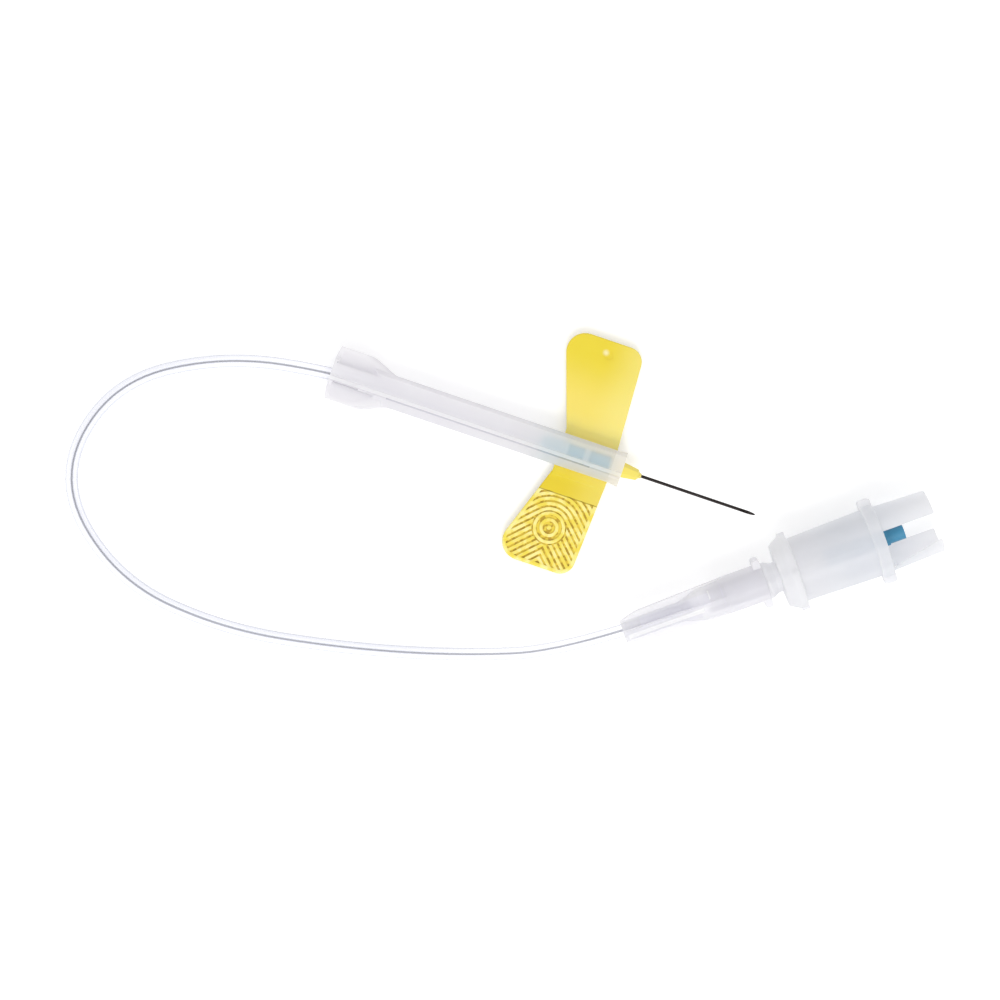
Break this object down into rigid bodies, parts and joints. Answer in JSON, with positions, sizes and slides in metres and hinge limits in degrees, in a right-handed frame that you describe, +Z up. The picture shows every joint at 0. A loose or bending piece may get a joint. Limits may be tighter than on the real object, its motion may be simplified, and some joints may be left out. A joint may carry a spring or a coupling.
{
  "type": "safety butterfly needle",
  "caption": "Winged needle in a sliding safety shield, with a thin clear tube that ends in a taper hub and a forked adapter.",
  "frame": {"origin": "on the table, under the middle of the box round the needle, the wings and the shield (the tube and the adapter not counted)", "axes": "+X along the needle to its tip, +Y to the smooth wing, +Z up off the table"},
  "size_m": [0.1351, 0.0631, 0.012],
  "materials": {
    "needle_steel": "ground and polished stainless steel tube",
    "yellow_vinyl": "soft moulded vinyl, satin",
    "pale_blue_plastic": "moulded, slightly see-through",
    "milky_plastic": "moulded natural polypropylene, milky",
    "clear_tubing": "extruded soft vinyl tube, clear",
    "blue_rubber": "moulded rubber, satin"
  },
  "bodies": {
    "carrier": {"needle": "needle_steel", "needle_hub": "pale_blue_plastic", "wing_collar": "yellow_vinyl", "tube": "clear_tubing", "tube_hub": "milky_plastic"},
    "left_wing": {"left_wing": "yellow_vinyl"},
    "right_wing": {"right_wing": "yellow_vinyl"},
    "shield": {"shield": "milky_plastic"},
    "adapter": {"adapter_nose": "milky_plastic", "adapter_body": "milky_plastic", "rear_needle": "needle_steel", "valve_sleeve": "blue_rubber"}
  },
  "joints": [
    {"name": "shield_slide", "type": "slide", "parent": "carrier", "child": "shield", "axis": [1, 0, 0], "range_m": [0, 0.0245]},
    {"name": "left_wing_fold", "type": "hinge", "parent": "carrier", "child": "left_wing", "pos_m": [0.0072, 0.0034, 0.00145], "axis": [1, 0, 0], "range_deg": [0, 88], "stiffness_Nm_per_rad": 0.0006},
    {"name": "right_wing_fold", "type": "hinge", "parent": "carrier", "child": "right_wing", "pos_m": [0.0072, -0.0034, 0.00145], "axis": [-1, 0, 0], "range_deg": [0, 88], "stiffness_Nm_per_rad": 0.0006},
    {"name": "adapter_pull", "type": "slide", "parent": "carrier", "child": "adapter", "axis": [0.7837, 0.6211, 0], "range_m": [0, 0.012]}
  ]
}
